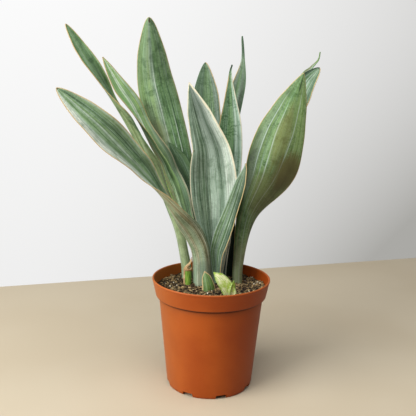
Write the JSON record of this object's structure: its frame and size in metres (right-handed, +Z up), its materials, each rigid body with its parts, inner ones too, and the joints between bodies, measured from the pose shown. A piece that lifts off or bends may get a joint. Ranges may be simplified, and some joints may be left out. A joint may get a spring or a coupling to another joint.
{
  "type": "potted snake plant",
  "caption": "Snake plant with tall channelled leaves growing from a rhizome in the soil of a round plastic nursery pot.",
  "frame": {"origin": "centre of the flat disc under the pot, where it stands on a surface", "axes": "+Z up along the pot's axis; the pictured front faces -Y; +X is to the right in the picture"},
  "size_m": [0.3121, 0.15, 0.4611],
  "materials": {
    "pot": "satin terracotta-orange plastic",
    "soil": "rough dark brown compost",
    "rhizome": "matt tan rootstock",
    "leaf": "satin grey-green leaf with pale stripes and tan margins",
    "stub": "satin bright green stalk",
    "sheath": "satin green",
    "young_leaf": "satin lime green"
  },
  "bodies": {
    "root": {"pot": "pot", "soil": "soil", "rhizome": "rhizome", "leaf_far_left": "leaf", "leaf_low_left": "leaf", "leaf_mid_left": "leaf", "leaf_short_back": "leaf", "leaf_tallest": "leaf", "leaf_centre": "leaf", "leaf_short_front": "leaf", "leaf_right": "leaf", "leaf_back_centre": "leaf", "leaf_back_right": "leaf", "leaf_twisted_tail": "leaf", "leaf_far_right": "leaf", "leaf_right_back": "leaf", "cut_stub": "stub", "sheath_leaf": "sheath", "young_shoot": "young_leaf"}
  },
  "joints": []
}
